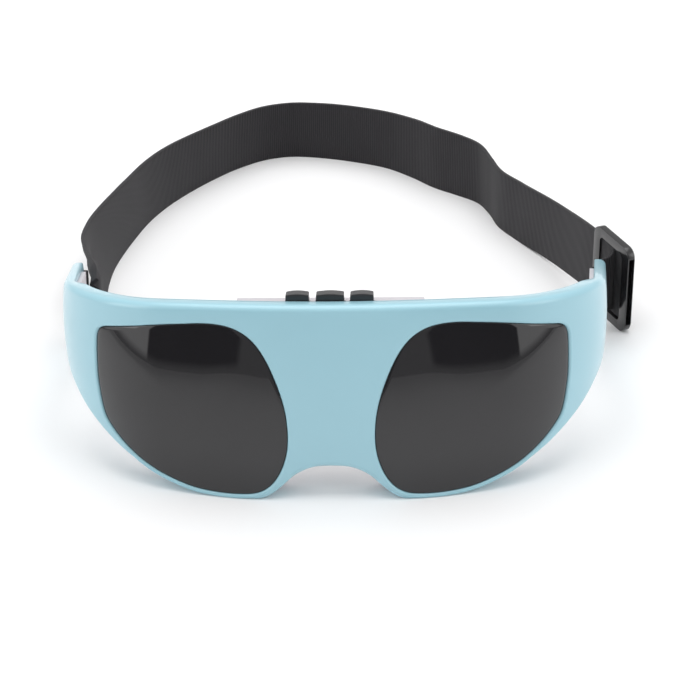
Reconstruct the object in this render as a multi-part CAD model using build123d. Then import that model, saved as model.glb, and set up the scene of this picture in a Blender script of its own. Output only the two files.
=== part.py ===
from build123d import *
import os
from math import asin, atan2, cos, radians, sin

os.makedirs("parts", exist_ok=True)

# Eye massager mask, millimetres.  Every mask piece is modelled in the face frame: +X to the wearer's
# left, +Y back towards the face, +Z up, with the front of the nose bridge at the origin.  place()
# then leans the mask back and moves it into the part's own frame, where it stands on z = 0 with the
# strap loop behind it.

# Driving dimensions: the case
front_radius = 210.0        # plan radius of the front of the case
front_half = 52.0           # half width of that front arc
temple_radius = 46.0        # plan radius where the case turns back along the temples
arm_direction = 84.5        # direction of the arms in plan, degrees from +X
arm_reach = 96.0            # how far back the arms end
arm_thickness = 3.6
wall = 2.0
foot_level = -0.5           # level of the feet, below the front of the nose bridge
parting = 6.0               # depth of the front shell behind its own front surface
lean = 12.0                 # degrees the mask leans back when it stands
origin_shift = (-4.5, -125.73, 0.5)   # moves the bounding box's bottom centre to the origin

# Driving dimensions: the rear cover
cover_depth = 10.5
cover_radius = 200.0
cover_half = 50.0
cover_drop = 2.1            # how far the cover's upper edge lies below the shell's
liner_inset = arm_thickness + 0.05
liner_thickness = 1.4
bay_half = 28.5             # half width of the battery bay that bulges towards the forehead
bay_depth = 18.0
bay_bottom, bay_top = 28.5, 61.0

# Driving dimensions: batteries, board, buttons
cell_radius, cell_length = 5.25, 44.5
cell_y = 10.8
cell_heights = (36.2, 47.1)
board_z, board_thickness = 53.6, 1.2
switch_height = 2.4
button_top = 64.3
button_y = 9.0
button_depth = 4.6
button_middles = {"power_button": -9.9, "mode_button": 0.0, "speed_button": 9.6}
button_widths = {"power_button": 7.6, "mode_button": 9.0, "speed_button": 7.6}
switch_names = {"power_button": "power", "mode_button": "mode", "speed_button": "speed"}

# Driving dimensions: strap
strap_width, strap_thickness = 25.0, 1.5
slot_low, slot_high = 28.5, 47.0
slot_front, slot_back = 84.0, 88.0
slider_height, slider_length, slider_plate = 32.5, 24.0, 3.0
slider_lift = 3.75          # how far the slider holds the strap's lower edge off the table
slider_gone, slider_near = 90.0, 138.0
strap_slant = 24.0          # degrees the strap's right end turns outward from +Y


# ---------------------------------------------------------------- plan curve and outline

class PlanCurve:
    """Half plan curve: a front arc, a temple arc and a straight arm, measured along its length."""

    def __init__(self, depth, radius, half, corner):
        self.depth, self.radius, self.corner = depth, radius, corner
        self.turn = asin(half / radius)
        self.end_turn = radians(arm_direction)
        self.start = (half, depth + radius - radius * cos(self.turn))
        self.centre = (half - corner * sin(self.turn), self.start[1] + corner * cos(self.turn))
        self.arc_end = (self.centre[0] + corner * sin(self.end_turn),
                        self.centre[1] - corner * cos(self.end_turn))
        self.length_front = radius * self.turn
        self.length_temple = corner * (self.end_turn - self.turn)
        self.length = self.length_front + self.length_temple + (
            arm_reach - self.arc_end[1]) / sin(self.end_turn)

    def at(self, s, inset=0.0, z=0.0):
        """Point inset from the curve at distance s; a negative s is on the other side."""
        side, run = (1 if s >= 0 else -1), abs(s)
        if run <= self.length_front:
            turn = run / self.radius
            x = (self.radius - inset) * sin(turn)
            y = self.depth + self.radius - (self.radius - inset) * cos(turn)
        else:
            turn = min(self.turn + (run - self.length_front) / self.corner, self.end_turn)
            extra = max(0.0, run - self.length_front - self.length_temple)
            x = self.centre[0] + (self.corner - inset) * sin(turn) + extra * cos(self.end_turn)
            y = self.centre[1] - (self.corner - inset) * cos(turn) + extra * sin(self.end_turn)
        return Vector(side * x, y, z)

    def inset_of(self, point):
        """How far a point lies inside the curve."""
        x, y = abs(point.X), point.Y
        if atan2(x, self.depth + self.radius - y) <= self.turn:
            return self.radius - ((self.depth + self.radius - y) ** 2 + x ** 2) ** 0.5
        out = (x - self.centre[0], y - self.centre[1])
        if out[0] * cos(self.end_turn) + out[1] * sin(self.end_turn) > 0:
            return self.corner - out[0] * sin(self.end_turn) + out[1] * cos(self.end_turn)
        return self.corner - (out[0] ** 2 + out[1] ** 2) ** 0.5

    def inward(self, s):
        """Unit vector from the curve towards the wearer."""
        return (self.at(s, 1.0) - self.at(s, 0.0)).normalized()

    def half_wire(self, inset, stretch=0.0):
        """Edges of the right half at an inset, from the middle to the arm's end."""
        front, temple = self.length_front, self.length_temple
        a, b = self.at(0, inset), self.at(front, inset)
        c, d = self.at(front + temple, inset), self.at(self.length + stretch, inset)
        return [ThreePointArc(a, self.at(front / 2, inset), b),
                ThreePointArc(b, self.at(front + temple / 2, inset), c), Line(c, d)]


def cover_corner():
    """Temple radius with which the rear cover's curve runs into the arm's inner face."""
    turn, end = asin(cover_half / cover_radius), radians(arm_direction)
    start = (cover_half, cover_depth + cover_radius * (1 - cos(turn)))
    on_arm = case.at(case.length, liner_inset + liner_thickness)
    out = (sin(end), -cos(end))
    target = on_arm.X * out[0] + on_arm.Y * out[1] - start[0] * out[0] - start[1] * out[1]
    return target / (1 - sin(turn) * out[0] + cos(turn) * out[1])


case = PlanCurve(0.0, front_radius, front_half, temple_radius)
cover = PlanCurve(cover_depth, cover_radius, cover_half, cover_corner())

# Lower and upper edge of the case against distance along the plan curve
lower_points = [(0, 11.1), (7.5, 10.1), (12, 7.6), (16, 3.8), (20.5, 0.5), (27, -0.5), (38, 0.2), (52, 4.3),
                (65.6, 11), (81.4, 20), (97.7, 28.6), (112, 31.5), (125, 30.5), (141, 25.5), (165, 20)]
upper_points = [(0, 62.5), (47, 62), (64, 61.3), (81, 60.6), (98, 59.3), (112, 57.4), (135, 53.6),
                (165, 48.8)]
lower_edge = Spline(*lower_points, tangents=[(1, 0), (1, -0.2)])
upper_edge = Spline(*upper_points, tangents=[(1, 0), (1, -0.16)])


def height_on(curve, s):
    """Height of an edge curve at distance s, by halving."""
    low, high = 0.0, 1.0
    for _ in range(30):
        middle = (low + high) / 2
        low, high = (middle, high) if (curve @ middle).X < abs(s) else (low, middle)
    return (curve @ low).Y


def band(curve, near, far, low, high, stretch=0.0):
    """Wall between two insets of a plan curve, both sides, from low to high."""
    inner, outer = curve.half_wire(near, stretch), curve.half_wire(far, stretch)
    end = Line(inner[-1] @ 1, outer[-1] @ 1)
    middle = Line(inner[0] @ 0, outer[0] @ 0)
    half = extrude(Pos(0, 0, low) * make_face([*inner, end, *outer, middle]), high - low, dir=(0, 0, 1))
    return half + mirror(half, Plane.YZ)


def beyond_edge(curve, margin, outwards, depth=30.0):
    """Solid that lies beyond an edge curve moved in by a margin, ruled square to the plan curve."""
    far = 70.0 * outwards
    stations = [0, 4, 7.5, 10, 12, 14, 16, 18, 20.5, 23.5, 27, 32, 38, 45, 52, 59, 66, 73, 81, 89, 98, 105, 112,
                118, 125, 133, 141, 150, 163]
    sections = []
    for s in stations:
        z = height_on(curve, s) - margin * outwards
        a, b = case.at(s, -4.0, z), case.at(s, depth, z)
        sections.append(Face(Wire.make_polygon(
            [a, b, b + Vector(0, 0, far - z), a + Vector(0, 0, far - z)], close=True)))
    half = loft(sections, ruled=True)
    return half + mirror(half, Plane.YZ)


def trimmed(solid, margin=0.0, upper_margin=None):
    """Cut a wall to the case's outline, moved in by a margin."""
    upper_margin = margin if upper_margin is None else upper_margin
    return solid - beyond_edge(lower_edge, margin, -1) - beyond_edge(upper_edge, upper_margin, 1)


def both(shape):
    """A shape on the right side and its mirror image."""
    return shape, mirror(shape, Plane.YZ)


def box(x0, x1, y0, y1, z0, z1):
    return Pos((x0 + x1) / 2, (y0 + y1) / 2, (z0 + z1) / 2) * Box(x1 - x0, y1 - y0, z1 - z0)


def normal_plane(curve, s, z, inset=0.0):
    """Plane on a plan curve whose +Z points at the wearer."""
    return Plane(origin=curve.at(s, inset, z), x_dir=(0, 0, 1), z_dir=curve.inward(s))


# ---------------------------------------------------------------- lenses

def grown(outline, grow, steps=72):
    """Closed outline moved outwards by a margin, as one smooth curve."""
    wire = outline.face().outer_wire()
    turned = 1 if outline.face().normal_at().Z > 0 else -1
    points = []
    for i in range(steps):
        along = wire % (i / steps)
        points.append((wire @ (i / steps)) + Vector(-along.Y, along.X, 0) * (grow * turned))
    return make_face([Spline(*points, periodic=True)])


def lens_face(grow=0.0):
    """Right lens outline seen from the front."""
    side = Line((72.7, 51.2), (72.7, 33))
    belly = Spline((72.7, 33), (71.2, 23.2), (64.1, 14.2), (53, 6.9), (42, 3.2), (31, 2.1), (24, 2.9),
                   (18, 7.6), (14.2, 15.5), (13.4, 24), (15.6, 35), (19.3, 45), (24.3, 52), (31, 55.6),
                   (38, 56.3))
    brow = ThreePointArc((38, 56.3), (55, 54.9), (72.7, 51.2))
    outline = make_face([side, belly, brow])
    corner = outline.vertices().sort_by(lambda v: -v.X - v.Y)[0]
    return grown(fillet(corner, 4.2), grow)


def lens_prism(grow=0.0):
    """Right lens outline as a prism along Y through the whole case."""
    upright = Plane(origin=(0, 60, 0), x_dir=(1, 0, 0), z_dir=(0, -1, 0))
    return extrude(upright * lens_face(grow), 70)


# ---------------------------------------------------------------- fasteners and where they go

screw_spots = [(6.0, 19.5), (83.5, 54.0), (86.0, 29.5)]      # (distance along the case, height)
boss_radius, screw_radius, head_radius, head_height = 2.4, 1.0, 1.9, 1.1


def cover_gap(s):
    """Depth from the case's front surface to the cover's rear surface, at distance s along the case."""
    near, far = 0.0, 30.0
    for _ in range(30):
        middle = (near + far) / 2
        near, far = (middle, far) if cover.inset_of(case.at(s, middle)) < 0 else (near, middle)
    return near


def screw_at(s, z):
    """One self-tapping screw through the cover into the shell's boss."""
    depth = cover_gap(s)
    plane = normal_plane(case, s, z, depth - head_height - 0.4)
    head = extrude(plane * Circle(head_radius), head_height)
    drive = extrude(plane.offset(head_height) * (Rectangle(2.2, 0.5) + Rectangle(0.5, 2.2)), -0.6)
    shank = extrude(plane * Circle(screw_radius), -(depth - head_height - 0.4 - wall))
    return head + shank - drive


# ---------------------------------------------------------------- case halves

def above_foot(margin=0.0):
    """All that lies above the level the mask stands on."""
    return Rot(lean, 0, 0) * Pos(0, 60, foot_level + margin + 100) * Box(300, 300, 200)


def front_shell():
    body = trimmed(band(case, 0, parting, -2, 64)) & above_foot()
    hollow = trimmed(band(case, wall, parting + 1, -2, 64), wall) & above_foot(wall)
    arms = trimmed(band(case, 0, arm_thickness, -2, 64)) & box(-100, 100, 54, 110, -2, 64)
    front = box(-100, 100, -5, 54, -5, 70)
    body = ((body - hollow) & front) + arms
    ledge = band(case, 0.5, arm_thickness, 15, 64) & box(-100, 100, 50, 55, -5, 70)
    body += trimmed(ledge)
    for side in (1, -1):
        for s, z in screw_spots:
            boss = extrude(normal_plane(case, side * s, z, 1.0) * Circle(boss_radius), parting - 1.2)
            bore = extrude(normal_plane(case, side * s, z, 1.6) * Circle(screw_radius + 0.02), parting)
            body = body + boss - bore
    for prism in both(lens_prism(0.15)):
        body -= prism
    # strap slot, and a shallow recess outside the bar that the strap wraps
    for side in (1, -1):
        spot = lambda y: side * (case.length - (arm_reach - y))
        for low, high, a, b, near, far in ((slot_low, slot_high, slot_front, slot_back, -1, 6),
                                           (slot_low, slot_high, slot_back - 1, arm_reach + 1, -1, 1.0)):
            corners = [case.at(spot(a), near), case.at(spot(b), near),
                       case.at(spot(b), far), case.at(spot(a), far)]
            outline = Face(Wire.make_polygon(corners, close=True))
            cutter = extrude(Pos(0, 0, low) * outline, high - low, dir=(0, 0, 1))
            body -= cutter
    return body


def lens(side):
    window = lens_prism(-0.1) & band(case, 0.5, wall + 0.05, -2, 64)
    flange = lens_prism(1.5) & trimmed(band(case, wall + 0.05, wall + 1.05, -2, 64), wall + 0.35)
    whole = window + (flange & above_foot(wall + 0.1))
    return whole if side > 0 else mirror(whole, Plane.YZ)


def eye_prism(grow=0.0):
    """Eye opening of the rear cover, right side, as a prism along Y."""
    upright = Plane(origin=(0, 60, 0), x_dir=(1, 0, 0), z_dir=(0, -1, 0))
    outline = Spline((58, 24), (46, 13.5), (30, 11), (20.5, 17), (21, 24.5), (31, 27), (45, 33), (54, 34),
                     periodic=True)
    return extrude(upright * grown(make_face([outline]), grow, 40), 70)


stud_radius, stud_height = 2.6, 3.0
stud_spots = [(32.5, 57.0), (42, 55.0), (51.5, 53), (60.5, 48.5), (66, 40), (66.5, 30), (62.5, 20.5), (54, 12),
              (43.5, 7.2), (32, 6.6), (21.5, 8.0), (35, 41.5), (47.5, 42)]


def rear_cover():
    outer = trimmed(band(cover, -8.5, 0, -2, 64), 0.0, cover_drop) & band(case, parting + 0.02, 24, -3, 66)
    outer &= box(-100, 100, 0, 50, -5, 70) & above_foot()
    inner = trimmed(band(cover, -9.5, -1.8, -2, 64), 1.8, cover_drop + 1.8) & above_foot(1.8)
    body = outer - inner
    # thin liner along the inside of the arms
    liner = trimmed(band(case, liner_inset, liner_inset + liner_thickness, -2, 64), 2.0)
    body += liner & box(-100, 100, 54, 81, -5, 70)
    joint = trimmed(band(case, wall + 1.3, parting + 1.5, -2, 64), wall + 0.1) & band(cover, -8.5, 0, -2, 64)
    body += (joint & box(-100, 100, 35, 50, -5, 70)) + (liner & box(-100, 100, 49, 55, -5, 70))
    # battery bay
    corner = 4.0
    bay = box(-bay_half, bay_half, 5.0, bay_depth, bay_bottom, bay_top)
    bay = fillet(bay.edges().group_by(Axis.Y)[-1], corner)
    bay -= band(case, -3, parting + 0.02, -2, 66)
    room = box(-bay_half + 1.6, bay_half - 1.6, 3, bay_depth - 1.6, bay_bottom + 1.8, bay_top - wall)
    body = body + bay - room
    # eye tunnels that close the case off round each eye
    for prism, core in zip(both(eye_prism(1.4)), both(eye_prism())):
        tunnel = prism & (band(case, wall + 1.15, 9, -2, 64) + band(cover, -4, 0, -2, 64))
        body = body + tunnel - core
    body -= room & box(-bay_half, bay_half, 0, 30, bay_bottom, 59)
    # battery door opening with its side grooves, open at the bottom
    body -= box(-25.3, 25.3, bay_depth - 3.0, bay_depth + 1, bay_bottom - 1, 57.3)
    body -= box(-26.3, 26.3, bay_depth - 1.4, bay_depth - 0.4, bay_bottom - 1, 57.3)
    # button holes
    for name, x in button_middles.items():
        half = button_widths[name] / 2 + 0.15
        front, back = button_y - button_depth / 2 - 0.15, button_y + button_depth / 2 + 0.15
        body -= box(x - half, x + half, front, back, bay_top - wall - 1, bay_top + 2)
    # screw holes with counterbores
    for side in (1, -1):
        for s, z in screw_spots:
            depth = cover_gap(s)
            pad = extrude(normal_plane(case, side * s, z, parting + 0.05) * Circle(head_radius + 1.0),
                          depth - parting - 0.6)
            hole = extrude(normal_plane(case, side * s, z, parting - 0.5) * Circle(screw_radius + 0.15), 20)
            seat_plane = normal_plane(case, side * s, z, depth - head_height - 0.4)
            seat = extrude(seat_plane * Circle(head_radius + 0.15), 10)
            body = body + pad - hole - seat
    # sockets for the studs
    for side in (1, -1):
        for x, z in stud_spots:
            body -= extrude(stud_plane(side * x, z, -1.5) * Circle(1.25), 4)
    return body


def stud_plane(x, z, lift=0.0):
    """Plane on the cover's rear surface at a height and a place across it, +Z towards the wearer."""
    low, high = 0.0, cover.length
    for _ in range(30):
        middle = (low + high) / 2
        low, high = (middle, high) if cover.at(middle).X < abs(x) else (low, middle)
    s = low if x >= 0 else -low
    return normal_plane(cover, s, z, lift)


def stud_group(side):
    """Rubber nubs with a stem that plugs into the cover."""
    studs = []
    for x, z in stud_spots:
        plane = stud_plane(side * x, z, 0.12)
        lip = extrude(plane * Circle(stud_radius), 1.0)
        dome = plane.offset(1.0) * Sphere(stud_radius)
        dome &= extrude(plane.offset(1.0) * Circle(stud_radius + 1), 5)
        stem = extrude(plane * Circle(1.15), -1.5)
        pocket = extrude(plane.offset(0.6) * Circle(1.3), 1.2)
        studs.append(lip + dome + stem - pocket)
    return Compound(studs)


def magnet_group(side):
    """Disc magnets sealed in the nubs."""
    return Compound([extrude(stud_plane(side * x, z, 0.77) * Circle(1.25), 1.1) for x, z in stud_spots])


# ---------------------------------------------------------------- battery bay

def battery_door():
    plate = box(-25.05, 25.05, bay_depth - 1.6, bay_depth, bay_bottom + 0.2, 57.05)
    tongues = box(-26.05, 26.05, bay_depth - 1.15, bay_depth - 0.6, bay_bottom + 1, 57.05)
    grip = plate + tongues
    for z in (47.0, 48.8, 50.6, 52.4):
        grip += box(-7, 7, bay_depth - 0.1, bay_depth + 0.5, z, z + 0.8)
    return grip


def battery_tray():
    low, high = cell_heights[0] - cell_radius - 0.55, cell_heights[1] + cell_radius + 0.65
    tray = box(-26.6, 26.6, 4.95, bay_depth - 3.2, low, high)
    tray -= box(-25.8, 25.8, 5.45, bay_depth, low + 0.5, high - 0.5)
    return tray


def battery(z, turned):
    body = Pos(0, cell_y, z) * Rot(0, 90, 0) * Cylinder(cell_radius, cell_length - 1.2)
    nub = Pos((cell_length - 0.6) / 2, cell_y, z) * Rot(0, 90, 0) * Cylinder(1.9, 1.3)
    cell = Pos(-0.6, 0, 0) * (body + nub)
    return mirror(cell, Plane.YZ) if turned else cell


def battery_springs():
    springs = []
    for z, side in zip(cell_heights, (-1, 1)):
        start = side * 25.1
        coil = Pos(start, cell_y, z) * Rot(0, -90 * side, 0) * Helix(0.9, 2.5, 2.6)
        plane = Plane(origin=coil @ 0, z_dir=coil % 0)
        springs.append(sweep(plane * Circle(0.22), path=coil, is_frenet=True))
    return Compound(springs)


def battery_contacts():
    plates = []
    for side in (-1, 1):
        x = side * 25.55
        if side < 0:
            for z in cell_heights:
                plates.append(box(x - 0.2, x + 0.2, 6.5, 13.5, z - 3.6, z + 3.6))
        else:
            plates.append(box(x - 0.2, x + 0.2, 6.5, 13.5, cell_heights[0] - 3.6, cell_heights[1] + 3.6))
    return Compound(plates)


# ---------------------------------------------------------------- board, switches and buttons

def circuit_board():
    board = box(-21, 21, 4.7, 14.5, board_z, board_z + board_thickness)
    for x in (-18.5, 18.5):
        board -= Pos(x, 11.5, board_z) * Cylinder(0.95, 6)
    return board


def board_screws():
    screws = []
    for x in (-18.5, 18.5):
        head = Pos(x, 11.5, board_z + board_thickness + 0.45) * Cylinder(1.6, 0.9)
        slot = Pos(x, 11.5, board_z + board_thickness + 0.8) * Box(2.4, 0.4, 0.5)
        shank = Pos(x, 11.5, board_z + board_thickness / 2) * Cylinder(0.9, board_thickness)
        screws.append(head + shank - slot)
    return Compound(screws)


def controller_chip():
    z = board_z + board_thickness
    chip = box(-17, -14.2, 5.4, 9.4, z + 0.15, z + 1.4)
    for i in range(4):
        y = 5.9 + i * 0.95
        for x0, x1 in ((-17.9, -16.9), (-14.3, -13.3)):
            chip += box(x0, x1, y - 0.2, y + 0.2, z, z + 0.5)
    return chip


def board_parts():
    z = board_z + board_thickness
    parts = [box(15.2, 16.8, 5.5, 6.3, z, z + 0.6), box(15.2, 16.8, 7.3, 8.1, z, z + 0.6)]
    parts += [Pos(6.6, 13.0, z + 0.9) * Cylinder(1.3, 1.8), Pos(-6.6, 13.0, z + 0.9) * Cylinder(1.3, 1.8)]
    parts += [box(x, x + 1.6, 12.6, 13.4, z, z + 0.5) for x in (-12, 10.4)]
    return Compound(parts)


def tact_switch(x):
    z = board_z + board_thickness
    body = box(x - 2.2, x + 2.2, button_y - 2.2, button_y + 2.2, z, z + switch_height)
    body = chamfer(body.edges().filter_by(Axis.Z), 0.4)
    return body - Pos(x, button_y, z + 1.8) * Cylinder(1.2, 3.0)


def switch_plunger(x):
    top = bay_top - wall - 1.1
    return Pos(x, button_y, top - 1.0) * Cylinder(1.1, 2.0)


def push_button(name):
    """Key with rounded top edges and a flange that keeps it in the cover."""
    x, width = button_middles[name], button_widths[name]
    low = bay_top - wall - 0.1
    cap = box(x - width / 2, x + width / 2, button_y - button_depth / 2, button_y + button_depth / 2,
              low, button_top)
    cap = fillet(cap.edges().filter_by(Axis.Z), 1.0)
    cap = fillet(cap.edges().group_by(Axis.Z)[-1], 0.9)
    flange_half = width / 2 + (0.5 if name != "mode_button" else 0.35)
    flange = box(x - flange_half, x + flange_half, button_y - button_depth / 2 - 0.4,
                 button_y + button_depth / 2 + 0.8, low - 1.0, low)
    return cap + flange


# ---------------------------------------------------------------- vibration motors

motor_s, motor_inset = 85.5, 4.43
motor_low, motor_length, motor_radius = 34.5, 11.0, 2.1
wire_radius, wire_end, wire_drop = 0.45, 89.2, 21.0


def motor_spot(side, z):
    return case.at(side * motor_s, motor_inset, z)


def motor_can(side):
    base = Plane(origin=motor_spot(side, motor_low))
    can = extrude(base * Circle(motor_radius), motor_length)
    bearing = extrude(base.offset(motor_length) * Circle(1.1), 0.6)
    bore = extrude(base.offset(motor_length - 4) * Circle(0.44), 6)
    return can + bearing - bore


def motor_sleeve(side):
    base = Plane(origin=motor_spot(side, motor_low + 1.5))
    return extrude(base * (Circle(motor_radius + 0.28) - Circle(motor_radius + 0.02)), 7.5)


def motor_shaft(side):
    base = Plane(origin=motor_spot(side, motor_low + motor_length - 3.6))
    return extrude(base * Circle(0.4), 8.4)


def motor_weight(side):
    base = Plane(origin=motor_spot(side, motor_low + motor_length + 1.0))
    disc = Circle(2.1) & Pos(0, 1.6) * Rectangle(6, 4)
    return extrude(base * (disc + Circle(0.9) - Circle(0.4)), 3.4)


def motor_wires(side):
    """Two insulated wires from the board along the brow to the motor."""
    wires = []
    for inset, z in ((3.65, 57.3), (4.75, 57.3)):
        bend = case.length_front
        front = ThreePointArc(case.at(24, inset), case.at(38, inset), case.at(bend, inset))
        temple = ThreePointArc(case.at(bend, inset), case.at(68, inset), case.at(wire_end, inset))
        route = Wire([front, temple])
        profile = Plane(origin=case.at(24, inset), z_dir=route % 0) * Circle(wire_radius)
        run = Pos(0, 0, z) * sweep(profile, path=route)
        tail = extrude(Plane(origin=case.at(wire_end, inset, z - wire_drop)) * Circle(wire_radius), wire_drop)
        knee = Pos(*case.at(wire_end, inset, z)) * Sphere(wire_radius)
        wire = run + tail + knee
        wires.append(wire if side > 0 else mirror(wire, Plane.YZ))
    return Compound(wires)


# ---------------------------------------------------------------- strap

def from_table(shape):
    """Strap pieces are drawn standing on the table; undo the lean so that place() puts them back."""
    return Rot(lean, 0, 0) * shape


strap_route = [(74, 161.5), (67.5, 174), (61, 185.5), (57.5, 196), (52.5, 204.5), (44, 211), (35.5, 218),
               (26.5, 228.5), (17, 237.5), (4, 244), (-10, 248.3), (-23, 249.5), (-33, 246.5), (-43, 239),
               (-53, 228), (-62, 216), (-69.5, 204), (-75.5, 191.5), (-80, 178), (-83.5, 165), (-86.5, 152),
               (-88.6, 140), (-89.2, 128), (-88.3, 117)]
slider_front = (100.2, 102.6)
slant = Vector(-sin(radians(strap_slant)), cos(radians(strap_slant)), 0)


def strap_band():
    """Elastic strap standing on its lower edge, from the slider round to the left arm."""
    start = Vector(*slider_front, 0) + slant * 2.6
    straight = start + slant * 44.0
    bend = Spline(straight, *[Vector(x, y, 0) for x, y in strap_route],
                  tangents=[slant, Vector(0.25, -1, 0)])
    centre = [Line(start, straight), bend]
    side_a, side_b = [], []
    steps = 52
    points = [start, straight] + [bend @ (i / steps) for i in range(1, steps + 1)]
    tangents = [slant, slant] + [bend % (i / steps) for i in range(1, steps + 1)]
    for point, tangent in zip(points, tangents):
        across = Vector(-tangent.Y, tangent.X, 0).normalized() * (strap_thickness / 2)
        side_a.append(point + across)
        side_b.append(point - across)
    edges = [Line(side_a[0], side_a[1]), Spline(*side_a[1:]), Line(side_a[-1], side_b[-1]),
             Spline(*side_b[1:]), Line(side_b[1], side_b[0]), Line(side_b[0], side_a[0])]
    flat = extrude(Pos(0, 0, -0.5) * make_face(edges), strap_width + slider_lift, dir=(0, 0, 1))
    # the strap rises into the slider on the right, and is gathered into the slot on the left
    rise = [(slider_gone, slider_lift), (slider_near, slider_lift), (156, 0.6), (170, 0.0)]
    under = Polyline((90, -3), (170, -3), *[(y, z - 0.5) for y, z in reversed(rise)], close=True)
    over = Polyline((90, 40), (260, 40), (260, strap_width - 0.5), *[(y, z + strap_width - 0.5) for y, z in
                    reversed(rise)], close=True)
    flat -= extrude(Pos(40, 0, 0) * (Plane.YZ * make_face(under)), 80)
    flat -= extrude(Pos(40, 0, 0) * (Plane.YZ * make_face(over)), 80)
    flat -= box(-120, 40, 90, 260, strap_width - 0.5, 40)
    gather = Polyline((100, -3), (140, -3), (140, -0.5), (131, 0.6), (122, 4.0), (115, 8.4), (100, 8.4),
                      close=True)
    flat -= extrude(Pos(-60, 0, 0) * (Plane.YZ * make_face(gather)), -50)
    return from_table(flat)


def strap_end(side):
    """Gathered strap end looped round the arm's bar and stitched to itself."""
    place_at = lambda y, inset: case.at(side * (case.length - (arm_reach - y)), inset)
    ring_out = [place_at(slot_back - 1.7, -1.0), place_at(arm_reach + 2.0, -1.0), place_at(arm_reach + 3.2, 1.8),
                place_at(arm_reach + 2.0, 5.6), place_at(slot_back - 1.7, 5.6)]
    ring_in = [place_at(slot_back - 0.1, 0.6), place_at(arm_reach + 0.5, 0.6), place_at(arm_reach + 0.5, 4.0),
               place_at(slot_back - 0.1, 4.0)]
    outer = extrude(Pos(0, 0, slot_low + 0.3) * Face(Wire.make_polygon(ring_out, close=True)),
                    slot_high - slot_low - 0.6, dir=(0, 0, 1))
    inner = extrude(Pos(0, 0, slot_low) * Face(Wire.make_polygon(ring_in, close=True)),
                    slot_high - slot_low, dir=(0, 0, 1))
    return outer - inner


slider_window = (slider_length - 4.2 * 2, slider_height - 3.2 * 2)


def slider_plane(along, lift=0.0):
    """Plane in the strap, +X back along it and +Z outward, at a distance from the slider's front end."""
    origin = Vector(*slider_front, 0) + slant * along + Vector(0, 0, slider_height / 2 - 0.5)
    return Plane(origin=origin, x_dir=slant, z_dir=Vector(slant.Y, -slant.X, 0)).offset(lift)


def strap_slider():
    """Three-bar slider: a flat frame, and a centre bar that stands clear outside the strap."""
    plate = extrude(slider_plane(slider_length / 2, -slider_plate / 2) *
                    RectangleRounded(slider_length, slider_height, 4.0), slider_plate)
    plate = chamfer(plate.edges().group_by(Axis(origin=(0, 0, 0), direction=(slant.Y, -slant.X, 0)))[-1], 0.6)
    opening = extrude(slider_plane(slider_length / 2, -5) * RectangleRounded(*slider_window, 2.0), 10)
    channel = extrude(slider_plane(slider_length / 2, -strap_thickness / 2 - 0.3) *
                      Rectangle(slider_length + 2, strap_width + 0.5), strap_thickness + 0.6)
    bar = extrude(slider_plane(slider_length / 2 - 2.0, strap_thickness / 2 + 0.35) *
                  Rectangle(3.6, slider_height - 4), 1.3)
    return from_table(plate - opening + bar - channel)


def strap_return():
    """Strap between the right arm's bar and the slider, which lengthens as the slider moves back."""
    bar = Vector(*slider_front, 0) + slant * 10.4 + Vector(-slant.Y, slant.X, 0) * (strap_thickness / 2 + 0.55)
    arm = case.at(case.length + 5.2, 1.6)
    arm_table = Vector(arm.X, arm.Y * cos(radians(lean)) + 38 * sin(radians(lean)), 0)
    along = (bar - arm_table).normalized()
    across = Vector(-along.Y, along.X, 0) * 0.75
    corners = [arm_table + across, bar + across, bar - across, arm_table - across]
    flat = extrude(Pos(0, 0, 3.6) * Face(Wire.make_polygon(corners, close=True)), 19.0, dir=(0, 0, 1))
    return from_table(flat)


# ---------------------------------------------------------------- write every piece

def place(shape):
    """Lean the mask back and move it into the part's own frame."""
    return Pos(*origin_shift) * Rot(-lean, 0, 0) * shape


pieces = {
    "front_shell": front_shell(),
    "rear_cover": rear_cover(),
    "battery_door": battery_door(),
    "battery_tray": battery_tray(),
    "battery_lower": battery(cell_heights[0], False),
    "battery_upper": battery(cell_heights[1], True),
    "battery_springs": battery_springs(),
    "battery_contacts": battery_contacts(),
    "circuit_board": circuit_board(),
    "board_screws": board_screws(),
    "controller_chip": controller_chip(),
    "board_parts": board_parts(),
    "elastic_strap": strap_band(),
    "strap_slider": strap_slider(),
    "strap_return": strap_return(),
}
pieces["case_screws"] = Compound([screw_at(side * s, z) for side in (1, -1) for s, z in screw_spots])
for name, x in button_middles.items():
    pieces[name] = push_button(name)
    pieces[switch_names[name] + "_switch"] = tact_switch(x)
    pieces[switch_names[name] + "_plunger"] = switch_plunger(x)
for word, side in (("left", -1), ("right", 1)):
    pieces["lens_" + word] = lens(side)
    pieces["massage_studs_" + word] = stud_group(side)
    pieces["stud_magnets_" + word] = magnet_group(side)
    pieces["motor_" + word] = motor_can(side)
    pieces["motor_sleeve_" + word] = motor_sleeve(side)
    pieces["motor_shaft_" + word] = motor_shaft(side)
    pieces["motor_weight_" + word] = motor_weight(side)
    pieces["motor_wires_" + word] = motor_wires(side)
    pieces["strap_end_" + word] = strap_end(side)

for name, shape in pieces.items():
    export_step(place(shape), "parts/" + name + ".step")
print("pieces:", len(pieces))
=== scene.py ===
import math
import bpy
import numpy as np
from mathutils import Matrix, Vector


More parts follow.
